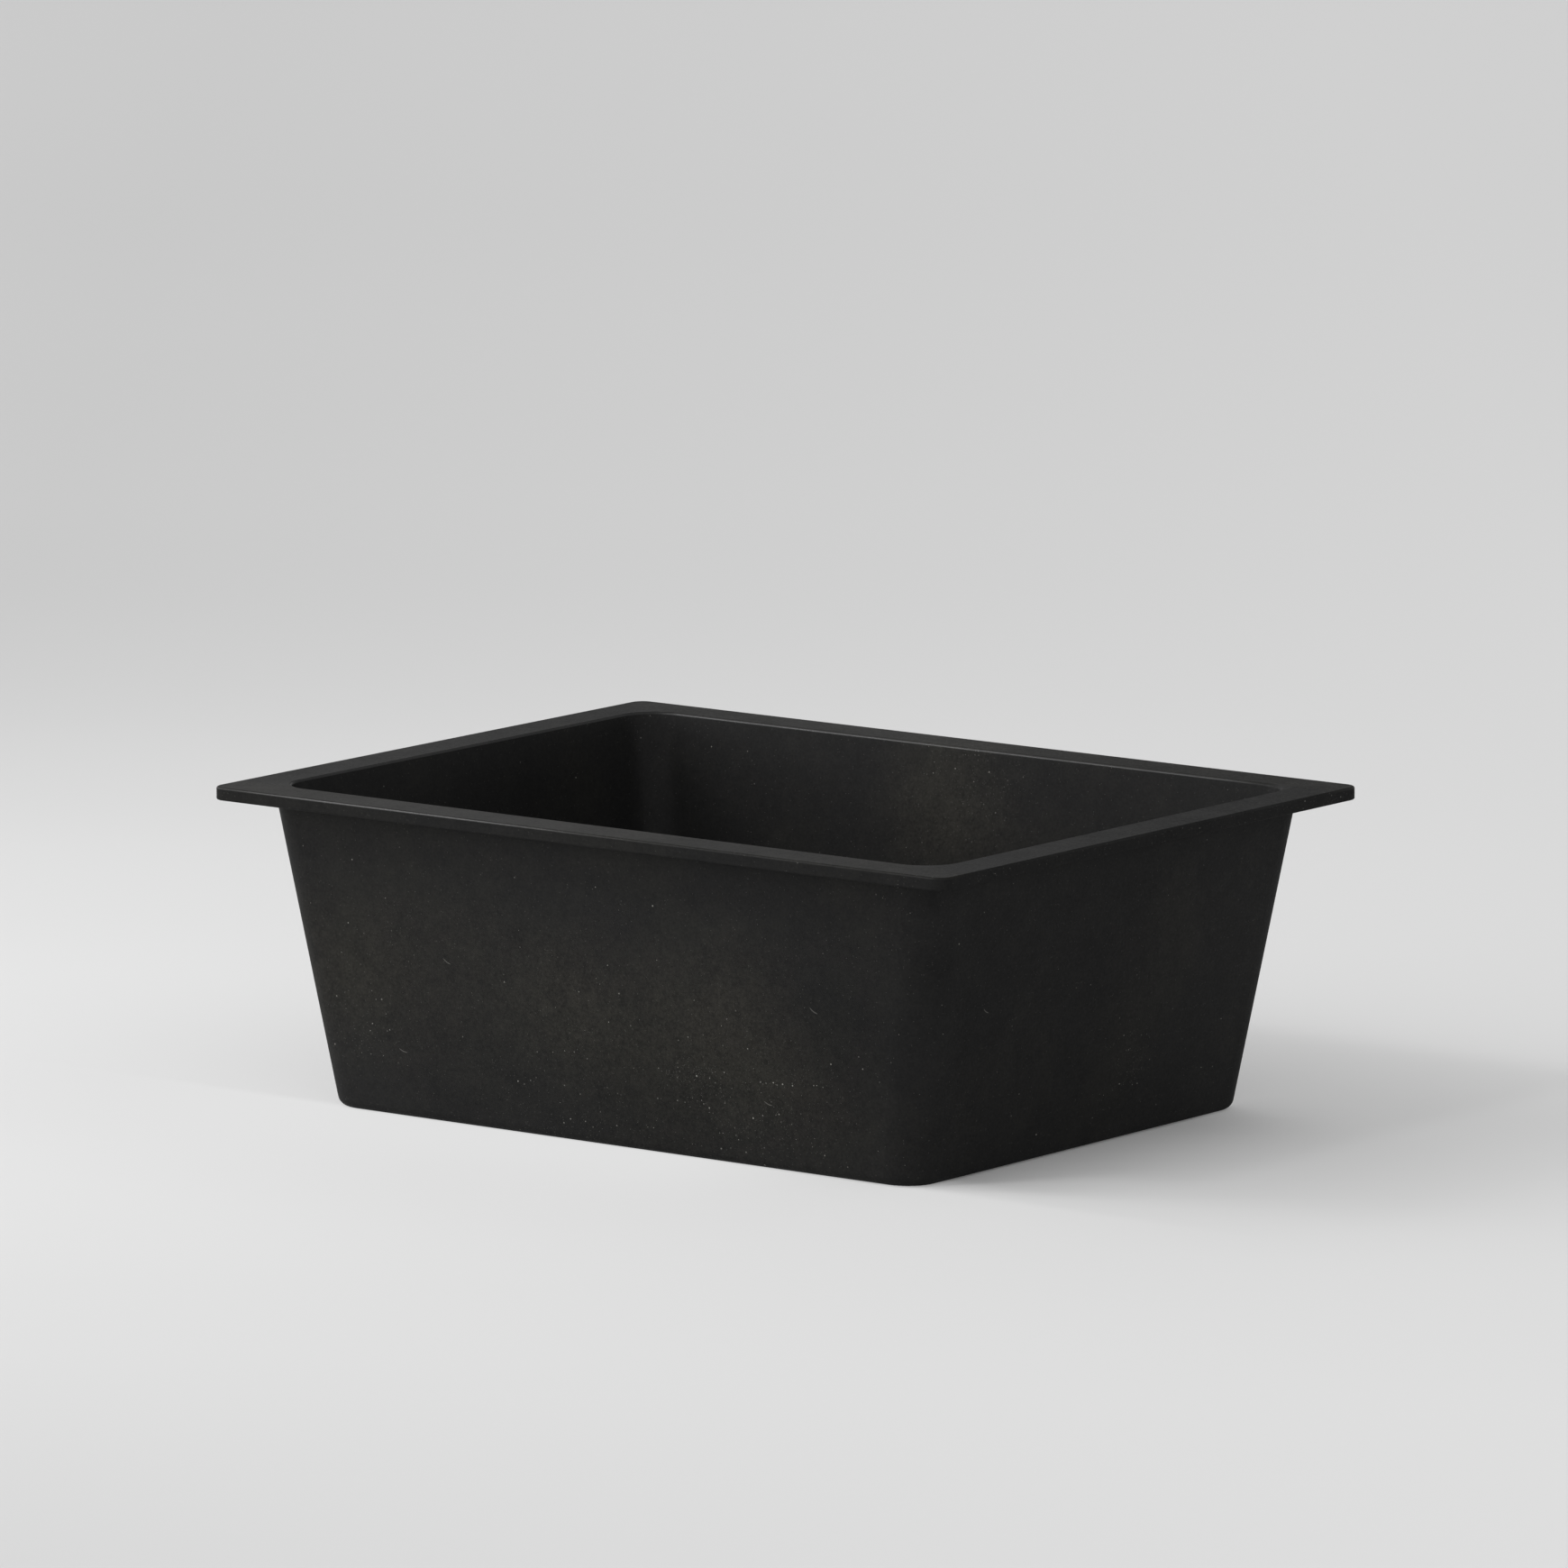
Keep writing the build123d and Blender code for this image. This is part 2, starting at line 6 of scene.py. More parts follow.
import bpy
import numpy as np
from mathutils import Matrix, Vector


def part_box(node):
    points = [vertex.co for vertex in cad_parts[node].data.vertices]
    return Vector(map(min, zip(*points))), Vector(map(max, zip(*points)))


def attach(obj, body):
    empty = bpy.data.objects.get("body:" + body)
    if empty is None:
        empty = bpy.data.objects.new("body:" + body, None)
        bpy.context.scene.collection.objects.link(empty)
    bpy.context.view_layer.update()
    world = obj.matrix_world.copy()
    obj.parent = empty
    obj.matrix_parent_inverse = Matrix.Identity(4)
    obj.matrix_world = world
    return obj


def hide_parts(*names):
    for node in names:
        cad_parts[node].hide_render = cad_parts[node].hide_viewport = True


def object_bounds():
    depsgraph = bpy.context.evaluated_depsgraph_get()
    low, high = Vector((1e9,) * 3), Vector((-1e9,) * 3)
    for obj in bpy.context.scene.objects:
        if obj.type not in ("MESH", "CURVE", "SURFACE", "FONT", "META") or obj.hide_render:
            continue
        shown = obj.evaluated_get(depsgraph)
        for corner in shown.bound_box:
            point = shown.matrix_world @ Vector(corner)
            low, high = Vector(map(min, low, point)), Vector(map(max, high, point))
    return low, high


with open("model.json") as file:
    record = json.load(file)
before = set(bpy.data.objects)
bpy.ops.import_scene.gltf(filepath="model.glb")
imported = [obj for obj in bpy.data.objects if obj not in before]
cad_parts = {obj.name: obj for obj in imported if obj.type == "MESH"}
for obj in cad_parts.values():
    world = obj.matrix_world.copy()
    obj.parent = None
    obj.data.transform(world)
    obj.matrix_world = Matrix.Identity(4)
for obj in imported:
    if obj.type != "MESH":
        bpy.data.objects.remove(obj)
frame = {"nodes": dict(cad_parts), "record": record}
cad_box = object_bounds()

bl_info = {
    "name": "Granite sink",
    "version": (1, 0, 0),
    "blender": (4, 5, 0),
    "location": "View3D > Sidebar > Sink",
    "description": "Dresses the granite sink and its basket waste and sets up the studio",
    "category": "Object",
}


class Signal:
    """A shader socket to reckon with: each operator on it adds the Math node that works it out."""

    def __init__(self, nodes, socket):
        self.nodes = nodes
        self.socket = socket

    def math(self, operation, *values):
        """Math node of the given operation on numbers and sockets."""
        return self.nodes.node("ShaderNodeMath", {"operation": operation}, dict(enumerate(values)))

    def other(self, output):
        """Another output of the same node."""
        return Signal(self.nodes, self.socket.node.outputs[output])

    def __add__(self, value):
        return self.math("ADD", self, value)

    def __sub__(self, value):
        return self.math("SUBTRACT", self, value)

    def __rsub__(self, value):
        return self.math("SUBTRACT", value, self)

    def __mul__(self, value):
        return self.math("MULTIPLY", self, value)

    def __truediv__(self, value):
        return self.math("DIVIDE", self, value)

    def __rtruediv__(self, value):
        return self.math("DIVIDE", value, self)

    def __pow__(self, value):
        return self.math("POWER", self, value)

    def __rpow__(self, value):
        return self.math("POWER", value, self)

    def __abs__(self):
        return self.math("ABSOLUTE", self)

    def __gt__(self, value):
        return self.math("GREATER_THAN", self, value)

    def __lt__(self, value):
        return self.math("LESS_THAN", self, value)

    __radd__ = __add__
    __rmul__ = __mul__

    def between(self, low, high):
        """Smooth step from 0 at low to 1 at high."""
        settings = {"interpolation_type": "SMOOTHSTEP"}
        return self.nodes.node("ShaderNodeMapRange", settings, {"Value": self, "From Min": low, "From Max": high})


class Nodes:
    """A node tree under construction."""

    def __init__(self, tree):
        self.tree = tree

    def node(self, kind, settings=None, inputs=None, output=0):
        """Adds a node: its settings first, with a ramp's stops among them, then the values or links of its sockets."""
        made = self.tree.nodes.new(kind)
        for key, value in (settings or {}).items():
            if key == "stops":
                self.set_stops(made.color_ramp, value)
            else:
                setattr(made, key, value)
        for key, value in (inputs or {}).items():
            self.feed(made.inputs[key], value)
        return Signal(self, made.outputs[output])

    def set_stops(self, band, stops):
        """Gives a ramp its stops, each a place and a grey tone, on a smooth line from place 0 to place 1."""
        band.interpolation = "CARDINAL"
        for place, tone in stops:
            if place == 0:
                stop = band.elements[0]
            elif place == 1:
                stop = band.elements[-1]
            else:
                stop = band.elements.new(place)
            stop.color = grey(tone)

    def feed(self, socket, value):
        """Links a signal to a socket, or sets the socket's own value."""
        if isinstance(value, Signal):
            self.tree.links.new(value.socket, socket)
        else:
            socket.default_value = value

    def vector(self, operation, first, second, output=0):
        """Vector Math of two vectors or colours; Value is the output of a length or a dot product."""
        return self.node("ShaderNodeVectorMath", {"operation": operation}, {0: first, 1: second}, output)


class Finish(Nodes):
    """A material under construction, on one Principled shader."""

    def __init__(self, name, **sockets):
        self.material = bpy.data.materials.new(name)
        self.material.use_nodes = True
        super().__init__(self.material.node_tree)
        self.shader = self.tree.nodes["Principled BSDF"]
        self.place = self.node("ShaderNodeTexCoord", output="Object")
        self.set(**sockets)

    def set(self, **sockets):
        """Feeds sockets of the shader, named in lower case with underscores."""
        for name, value in sockets.items():
            self.feed(self.shader.inputs[name.replace("_", " ").title().replace("Ior", "IOR")], value)

    def noise(self, scale, detail=2.0, roughness=0.5, distortion=0.0):
        """Noise from 0 to 1, with its scale in cycles a metre."""
        inputs = {"Scale": scale, "Detail": detail, "Roughness": roughness, "Distortion": distortion}
        return self.node("ShaderNodeTexNoise", {"normalize": True}, {"Vector": self.place, **inputs})

    def cells(self, scale):
        """Distance to the nearest of scattered points, in cell widths; its other output is a colour for each cell."""
        inputs = {"Vector": self.place, "Scale": scale}
        return self.node("ShaderNodeTexVoronoi", {"feature": "F1"}, inputs, "Distance")

    def axis(self, name):
        """Place along X, Y or Z, in metres."""
        return self.node("ShaderNodeSeparateXYZ", None, {"Vector": self.place}, name)

    def channels(self, colour):
        """Red channel of a colour; the other outputs are its green and blue."""
        return self.node("ShaderNodeSeparateColor", None, {"Color": colour}, "Red")

    def mix(self, share, first, second):
        """Blend of two colours."""
        settings = {"data_type": "RGBA", "clamp_factor": True}
        return self.node("ShaderNodeMix", settings, {0: share, 6: first, 7: second}, 2)

    def ramp(self, share, stops):
        """Grey tone that goes smoothly through its stops, each a place from 0 to 1 and a tone."""
        return self.node("ShaderNodeValToRGB", {"stops": stops}, {"Fac": share})

    def scaled(self, tint, share):
        """A colour made lighter or darker."""
        return self.node("ShaderNodeVectorMath", {"operation": "SCALE"}, {0: tint, "Scale": share})

    def patches(self, spots):
        """Sum of soft round patches: each falls from its strength at its middle to nothing at its radius."""
        total = 0.0
        for *middle, radius, strength in spots:
            distance = self.vector("DISTANCE", self.place, middle, "Value")
            total = (1 - distance.between(0.0, radius)) * strength + total
        return total

    def hair(self, middle, towards, radius, spread, width):
        """Thin arc on a surface: where a ball's skin meets it, kept to a cap of the ball.

        The ball's centre lies a radius away from the arc's middle, towards the given way. The cap's half angle is the
        spread, and the arc fades at its ends and at both sides of its width.
        """
        full_cap, full_width, faded_width = 0.7, 0.3, 0.6
        way = Vector(towards).normalized()
        reach = self.vector("SUBTRACT", self.place, Vector(middle) + way * radius)
        off = abs(self.vector("LENGTH", reach, (0, 0, 0), "Value") - radius)
        along = self.vector("DOT_PRODUCT", reach, -way, "Value")
        cap = along.between(radius * math.cos(spread), radius * math.cos(spread * full_cap))
        return cap * (1 - off.between(width * full_width, width * faded_width))

    def polar(self):
        """Distance from the upright axis, in metres."""
        x = self.axis("X")
        y = x.other("Y")
        return (x * x + y * y) ** 0.5

    def bump(self, height, distance):
        """Feeds a bump made from a height that varies by 1 at most, distance metres deep."""
        bump = self.node("ShaderNodeBump", None, {"Height": height, "Distance": distance})
        self.feed(self.shader.inputs["Normal"], bump)

    def dress(self, *names):
        """Puts the material on CAD nodes."""
        for name in names:
            for slot in frame["nodes"][name].material_slots:
                slot.material = self.material


def colour(value):
    """Colour with its alpha."""
    return (*value, 1.0)


def grey(shade):
    """Grey colour with its alpha."""
    return (shade, shade, shade, 1.0)


class GraniteLook(bpy.types.PropertyGroup):
    """Colours and texture of the cast granite composite."""

    body: bpy.props.FloatVectorProperty(
        name="Body", description="Colour of the binder and fine filler", size=3, subtype="COLOR",
        default=(0.0121, 0.0121, 0.012))
    cloud: bpy.props.FloatVectorProperty(
        name="Cloud", description="Colour of the paler clouds in the casting", size=3, subtype="COLOR",
        default=(0.0188, 0.0181, 0.0159))
    speck: bpy.props.FloatVectorProperty(
        name="Speck", description="Colour of the fine pale grains", size=3, subtype="COLOR", default=(0.2, 0.195, 0.18))
    gloss: bpy.props.FloatProperty(
        name="Gloss", description="Share of the thin glossy skin", default=0.15, min=0, max=1, subtype="FACTOR")
    edge_gloss: bpy.props.FloatProperty(
        name="Edge gloss", description="More of the glossy skin on the rounded edges of the rim", default=0.75, min=0,
        max=1, subtype="FACTOR")
    roughness: bpy.props.FloatProperty(
        name="Roughness", description="Roughness of the glossy skin", default=0.32, min=0, max=1, subtype="FACTOR")
    haze_scale: bpy.props.FloatProperty(
        name="Haze scale", description="Cycles of the slow warm haze in a metre", default=7.0)
    mottle_scale: bpy.props.FloatProperty(
        name="Mottle scale", description="Cycles of the mottling in a metre", default=40.0)
    blotch_scale: bpy.props.FloatProperty(
        name="Blotch scale", description="Cycles of the small blotches in a metre", default=120.0)
    grain_scale: bpy.props.FloatProperty(
        name="Grain scale", description="Cycles of the fine grain in a metre", default=480.0)
    grain_depth: bpy.props.FloatProperty(
        name="Grain depth", description="Depth of the fine grain", default=0.00007, unit="LENGTH")
    speck_scale: bpy.props.FloatProperty(
        name="Speck scale", description="Cells in a metre, each of which may hold a pale speck", default=360.0)
    dust_scale: bpy.props.FloatProperty(
        name="Dust scale", description="Cells in a metre, each of which may hold a faint fleck", default=800.0)


OUTLET = next(mount for mount in frame["record"]["mounts"] if mount["name"] == "waste_outlet")["dims"]


class WasteLook(bpy.types.PropertyGroup):
    """Threaded outlet of the waste body."""

    outlet_radius: bpy.props.FloatProperty(
        name="Outlet radius", description="Radius of the thread's crests", default=OUTLET["r_mm"] / 1000, unit="LENGTH")
    outlet_length: bpy.props.FloatProperty(
        name="Outlet length", description="Length of the outlet below the cone", default=OUTLET["length_mm"] / 1000,
        unit="LENGTH")
    pitch: bpy.props.FloatProperty(
        name="Pitch", description="Rise of the thread in one turn", default=0.002309, unit="LENGTH")
    depth: bpy.props.FloatProperty(
        name="Depth", description="Depth of the thread", default=0.001479, unit="LENGTH")


class StudioLook(bpy.types.PropertyGroup):
    """Floor, light and camera."""

    floor: bpy.props.FloatVectorProperty(
        name="Floor", description="Colour of the floor round the sink", size=3, subtype="COLOR",
        default=(0.615, 0.615, 0.615))
    gap: bpy.props.FloatProperty(
        name="Gap", description="How far the floor lies below the foot", default=0.00015, unit="LENGTH")
    opening: bpy.props.FloatVectorProperty(
        name="Opening", description="Width and depth of the floor's opening under the hollow", size=2, unit="LENGTH",
        default=(0.507, 0.377))
    opening_corner: bpy.props.FloatProperty(
        name="Opening corner", description="Corner radius of that opening", default=0.019, unit="LENGTH")
    front_way: bpy.props.FloatVectorProperty(
        name="Front panel", description="Way from the sink to the small panel in front of it", size=3, subtype="XYZ",
        default=(-0.25, -0.81, 1.0))
    side_way: bpy.props.FloatVectorProperty(
        name="Side panel", description="Way from the sink to the wide panel at its side", size=3, subtype="XYZ",
        default=(-1.15, -0.78, 1.0))
    front_size: bpy.props.FloatProperty(
        name="Front panel size", description="Side of the square front panel", default=0.7, unit="LENGTH")
    side_size: bpy.props.FloatProperty(
        name="Side panel size", description="Side of the square side panel", default=1.4, unit="LENGTH")
    reach: bpy.props.FloatProperty(
        name="Reach", description="Distance of the panels", default=6.0, unit="LENGTH")
    front_level: bpy.props.FloatProperty(
        name="Front level", description="Share of the floor's light that the front panel gives", default=0.09)
    side_level: bpy.props.FloatProperty(
        name="Side level", description="Share of the floor's light that the side panel gives", default=0.11)
    wall_way: bpy.props.FloatVectorProperty(
        name="Lit wall", description="Way from the sink to the wall of soft light", size=3, subtype="XYZ",
        default=(-0.8, -0.6, 0.55))
    wall_size: bpy.props.FloatVectorProperty(
        name="Wall size", description="Width and height of the wall of soft light", size=2, unit="LENGTH",
        default=(10.0, 7.0))
    wall_reach: bpy.props.FloatProperty(
        name="Wall reach", description="Distance of the wall of soft light", default=8.4, unit="LENGTH")
    wall_level: bpy.props.FloatProperty(
        name="Wall level", description="Share of the floor's light that the wall of soft light gives", default=0.36)
    around_level: bpy.props.FloatProperty(
        name="Around level", description="Strength of the light from all round", default=0.3)
    left_level: bpy.props.FloatProperty(
        name="Left level", description="How much more light comes from the left", default=1.6)
    right_level: bpy.props.FloatProperty(
        name="Right level", description="How much more light comes from the right", default=1.05)
    fore_level: bpy.props.FloatProperty(
        name="Front all-round level", description="How much more light comes from the front", default=1.25)
    own_light: bpy.props.FloatProperty(
        name="Own light", description="Share of the floor that shows its plain colour, without shading", default=0.33,
        subtype="FACTOR")
    plain_level: bpy.props.FloatProperty(
        name="Plain level", description="Brightness of the floor's plain colour", default=1.25)
    azimuth: bpy.props.FloatProperty(
        name="Azimuth", description="Where the camera stands, round from the front", default=math.radians(37.23),
        subtype="ANGLE")
    elevation: bpy.props.FloatProperty(
        name="Elevation", description="How far the camera looks down", default=math.radians(9.27), subtype="ANGLE")
    distance: bpy.props.FloatProperty(
        name="Distance", description="Camera to the point it looks at", default=9.566, unit="LENGTH")
    aim: bpy.props.FloatVectorProperty(
        name="Aim", description="Point the camera looks at", size=3, subtype="XYZ", unit="LENGTH",
        default=(-0.0011, -0.0004, 0.23325))
    lens: bpy.props.FloatProperty(
        name="Lens", description="Focal length on a 36 mm sensor", default=308.33, unit="CAMERA")


# Soft patches on the casting, as Finish.patches takes them: the middle, the radius and the strength of each.
# Warm, paler clouds.
CLOUDS = (
    (-0.235, -0.21, 0.1, 0.1, 0.6),
    (-0.11, -0.21, 0.1, 0.13, 0.45),
    (-0.02, -0.21, 0.1, 0.09, 0.75),
    (0.1, -0.21, 0.1, 0.11, 0.8),
    (0.17, -0.204, 0.045, 0.1, 0.35),
    (0.05, -0.205, 0.02, 0.13, 0.35),
    (-0.01, 0.215, 0.19, 0.09, 0.8),
)
# Lighter and darker patches of the body: some are tones of the casting, and some are painted light and shade. The
# lighter ones along the near corner, under the rim there and on the right wall are painted light where those faces lie
# in shade. The darker one on the front wall by the near corner is painted shade.
PAINTED_LIGHT_AND_TONES = (
    (0.24, -0.215, 0.12, 0.15, -0.15),
    (0.29, 0.18, 0.13, 0.22, 0.36),
    (-0.23, -0.2, 0.02, 0.1, 0.16),
    (0.05, -0.205, 0.02, 0.13, -0.14),
    (0.19, -0.204, 0.04, 0.1, -0.1),
    (-0.275, 0.06, 0.18, 0.17, -0.2),
    (0.27, -0.191, 0.06, 0.036, 0.15),
    (0.2753, -0.194, 0.095, 0.036, 0.22),
    (0.2806, -0.1971, 0.13, 0.036, 0.15),
    (0.2885, -0.2025, 0.19, 0.036, 0.2),
)
# More or less of the glossy skin on the rim.
SHEENS = (
    (-0.16, -0.24, 0.232, 0.25, 0.06),
    (0.03, -0.24, 0.232, 0.2, 0.04),
    (0.22, -0.24, 0.232, 0.15, 0.03),
    (-0.31, 0.0, 0.232, 0.22, 0.035),
    (-0.31, -0.24, 0.232, 0.09, 0.03),
    (-0.13, 0.24, 0.232, 0.25, 0.025),
    (0.31, 0.2, 0.232, 0.35, -0.04),
)
# Stretches of the rim's rounded edges that shine less.
DULL_EDGES = (
    (0.05, -0.25, 0.232, 0.2, 0.8),
    (0.27, -0.25, 0.232, 0.25, 1.0),
    (0.325, 0.05, 0.232, 0.3, 0.8),
    (-0.325, -0.25, 0.232, 0.13, 0.7),
    (0.29, 0.2, 0.232, 0.08, 0.8),
)
# Drifts of pale specks, by the chance that a cell holds one: from 1 up every cell does.
DRIFTS = (
    (0.076, -0.205, 0.06, 0.035, 1.9),
    (-0.225, -0.205, 0.062, 0.045, 0.7),
    (0.137, -0.203, 0.038, 0.09, 0.6),
    (-0.03, -0.2, 0.02, 0.08, 0.5),
    (0.272, 0.045, 0.058, 0.035, 1.2),
    (0.01, 0.214, 0.21, 0.07, 0.4),
    (-0.12, 0.08, 0.076, 0.06, 1.0),
    (-0.27, -0.05, 0.05, 0.05, 1.2),
    (-0.05, 0.205, 0.05, 0.05, 1.4),
)
# Hair marks: the middle of each arc, and the way from there to the centre of its ball.
HAIRS = (
    ((-0.14, -0.2122, 0.1195), (0.5, 0, 0.86)),
    ((0.1853, -0.2122, 0.1194), (0.5, 0, 0.86)),
    ((-0.1862, -0.2041, 0.049), (0.3, 0, 0.95)),
    ((0.1398, -0.204, 0.0476), (0.3, 0, 0.95)),
    ((0.283, -0.143, 0.12), (0, 0.5, 0.86)),
    ((-0.2735, 0.06, 0.062), (0, -0.6, 0.8)),
    ((0.07, 0.2135, 0.131), (-0.7, 0, 0.7)),
    ((-0.16, 0.207, 0.074), (0.2, 0, -0.98)),
    ((0.17, -0.09, 0.0757), (0.6, 0.8, 0)),
)
HAIR_RADIUS = 0.009
HAIR_SPREAD = 0.42
HAIR_WIDTH = 0.0007
HAIR_STRENGTH = 0.3

# Half the width and half the depth of the rim's opening, to just past the inner face of the walls.
RIM_OPENING = (0.2915, 0.216)
# Depths below the top of the rim between which the surface passes from one part of the sink to the next.
TOP_ENDS = (0.0005, 0.002)
EDGE_STARTS = (0.00012, 0.0005)
EDGE_ENDS = (0.0011, 0.0017)
FACE_ENDS = (0.0085, 0.0105)
HEAD_ENDS = (0.01, 0.05)

# Warmth and tone of these parts: warmth on the long sides of the rim's top; painted shade that darkens the rim as a
# whole; painted light that lightens the head of the outer walls, under the rim, where its overhang shades them.
TOP_WARMTH = 0.35
RIM_PAINTED_SHADE = -0.38
HEAD_PAINTED_LIGHT = 0.16

# What the patterns add to the warmth, the tone and the gloss of the casting. A pair is the strength in the plain body
# and how much more it is in a full cloud.
HAZE_STARTS = (0.45, 0.75)
HAZE_WARMTH = 0.3
MOTTLE_WARMTH = 0.45
MOTTLE_TONE = 0.12
MOTTLE_GLOSS = 0.5
BLOTCH_WARMTH = (0.5, 1.1)
BLOTCH_TONE = (0.3, 0.5)
GRAIN_TONE = (0.25, 0.45)
GRAIN_GLOSS = 0.8

# Specks, and the finer dust among them: the chance that a cell holds one, its radius in cell widths, its strength.
SPECK_CHANCE = (0.04, 0.1)
LOOSE_DRIFT_SCALE = 9.0
LOOSE_DRIFT_STARTS = (0.62, 0.85)
LOOSE_DRIFT_CHANCE = 0.5
SPECK_SIZE = 0.1
SPECK_GROWTH = 0.16
SIZE_POWER = 4.0
SPECK_FADE = (0.5, 1.2)
FAINTEST_SPECK = 0.06
BRIGHT_POWER = 2.0
DUST_CHANCE = 0.04
DUST_IN_DRIFT = 0.25
DUST_SIZE = (0.1, 0.3)
DUST_STRENGTH = 0.25


def clouded(strength, clouds):
    """Strength of a pattern: its first number, and its second more in a full cloud."""
    return strength[0] + strength[1] * clouds


def specks(finish, look, clouds):
    """Share of pale mineral at a point: round specks of many sizes, in drifts, with faint dust among them.

    A cell's random red decides whether it holds a speck, its green how large that is and its blue how bright. Powers of
    green and blue keep the large ones and the bright ones rare.
    """
    loose = finish.noise(LOOSE_DRIFT_SCALE).between(*LOOSE_DRIFT_STARTS) * LOOSE_DRIFT_CHANCE
    drift = finish.patches(DRIFTS) + loose + clouded(SPECK_CHANCE, clouds)
    cells = finish.cells(look.speck_scale)
    chance = finish.channels(cells.other("Color"))
    size = SPECK_SIZE + chance.other("Green") ** SIZE_POWER * SPECK_GROWTH
    held = (chance < drift) * (1 - cells.between(size * SPECK_FADE[0], size * SPECK_FADE[1]))
    bright = FAINTEST_SPECK + (1 - FAINTEST_SPECK) * chance.other("Blue") ** BRIGHT_POWER
    flecks = finish.cells(look.dust_scale)
    fleck_chance = finish.channels(flecks.other("Color"))
    dust = (fleck_chance < drift * DUST_IN_DRIFT + DUST_CHANCE) * (1 - flecks.between(*DUST_SIZE))
    return held * bright + dust * DUST_STRENGTH


def granite(look):
    """Near-black casting: warm clouds, mottling, grain, pale specks, a few hair marks, a glossy skin, and painted light
    and shade.
    """
    finish = Finish("granite_composite", specular_ior_level=0.0, coat_roughness=look.roughness, coat_ior=1.33)
    haze = finish.noise(look.haze_scale, detail=3.0, distortion=0.3).between(*HAZE_STARTS)
    mottle = finish.noise(look.mottle_scale, detail=5.0, roughness=0.6) - 0.5
    blotch = finish.noise(look.blotch_scale, detail=3.0, roughness=0.85) - 0.5
    grain = finish.noise(look.grain_scale, detail=2.0, roughness=0.6) - 0.5
    clouds = finish.patches(CLOUDS)
    z = finish.axis("Z")
    drop = cad_box[1][2] - z
    between_sides = abs(z.other("Y")) < RIM_OPENING[1]
    inside = (abs(z.other("X")) < RIM_OPENING[0]) * between_sides

    warm = haze * HAZE_WARMTH + clouds + mottle * MOTTLE_WARMTH + blotch * clouded(BLOTCH_WARMTH, clouds)
    warm = warm + TOP_WARMTH * (1 - between_sides) * (1 - drop.between(*TOP_ENDS))
    body = finish.mix(warm, colour(look.body), colour(look.cloud))
    # Painted shade on the rim, and painted light on the outer walls just under it, where the rim's overhang shades
    # them.
    height = (1 - drop.between(*HEAD_ENDS)) * HEAD_PAINTED_LIGHT + (1 - drop.between(*FACE_ENDS)) * RIM_PAINTED_SHADE
    # The patches here add tones of the casting as well as painted light and shade.
    tone = 1 + height * (1 - inside) + finish.patches(PAINTED_LIGHT_AND_TONES) + mottle * MOTTLE_TONE
    tone = tone + grain * clouded(GRAIN_TONE, clouds) + blotch * clouded(BLOTCH_TONE, clouds)
    body = finish.scaled(body, tone)
    body = finish.mix(specks(finish, look, clouds), body, colour(look.speck))
    marks = 0.0
    for middle, towards in HAIRS:
        marks = finish.hair(middle, towards, HAIR_RADIUS, HAIR_SPREAD, HAIR_WIDTH) + marks
    finish.set(base_color=finish.mix(marks * HAIR_STRENGTH, body, colour(look.speck)), roughness=0.8)

    edge = drop.between(*EDGE_STARTS) * (1 - drop.between(*EDGE_ENDS))
    edge = edge * (1 - finish.patches(DULL_EDGES)).between(0.0, 1.0)
    skin = look.gloss * (1 + mottle * MOTTLE_GLOSS + grain * GRAIN_GLOSS) + finish.patches(SHEENS)
    finish.set(coat_weight=skin + edge * look.edge_gloss)
    finish.bump(grain, look.grain_depth)
    finish.dress("sink_bowl")


def steel(name, shade, roughness, ring_scale, *nodes):
    """Stainless steel turned or spun about the upright axis: fine rings, and smudges in its colour and gloss."""
    smudged, ring_depth = 0.92 * shade, 0.00003
    ring_change, smudge_change = 0.16, 0.12
    finish = Finish(name, metallic=1.0)
    inputs = {"W": finish.polar(), "Scale": ring_scale, "Detail": 3.0}
    rings = finish.node("ShaderNodeTexNoise", {"noise_dimensions": "1D"}, inputs) - 0.5
    smudge = finish.noise(scale=60.0, detail=3.0)
    finish.set(base_color=finish.mix(smudge, grey(smudged), grey(shade)))
    finish.set(roughness=roughness + rings * ring_change + (smudge - 0.5) * smudge_change)
    finish.bump(rings, ring_depth)
    finish.dress(*nodes)


def moulded(name, shade, roughness, *nodes):
    """Rubber or plastic from a mould: a fine matte skin with slow changes of tone."""
    dark, skin_depth = tuple(0.86 * channel for channel in shade), 0.00004
    tone_change, skin_change = 0.15, 0.1
    finish = Finish(name)
    skin = finish.noise(scale=1500.0) - 0.5
    tone = finish.noise(scale=40.0, detail=3.0)
    finish.set(base_color=finish.mix(tone, colour(dark), colour(shade)))
    finish.set(roughness=roughness + (tone - 0.5) * tone_change + skin * skin_change)
    finish.bump(skin, skin_depth)
    finish.dress(*nodes)
    return finish.material


def brass(*nodes):
    """Turned brass, dulled in patches."""
    dull, bright = (0.46, 0.3, 0.11), (0.66, 0.47, 0.2)
    roughness, tarnish_change = 0.32, 0.3
    finish = Finish("brass", metallic=1.0)
    tarnish = finish.noise(scale=300.0, detail=4.0)
    finish.set(base_color=finish.mix(tarnish, colour(dull), colour(bright)))
    finish.set(roughness=roughness + (tarnish - 0.5) * tarnish_change)
    finish.dress(*nodes)


def new_piece(name, points, faces):
    """Mesh object at the origin with its place in its points."""
    mesh = bpy.data.meshes.new(name)
    mesh.from_pydata(points.tolist(), [], faces.tolist())
    piece = bpy.data.objects.new(name, mesh)
    bpy.context.scene.collection.objects.link(piece)
    return piece


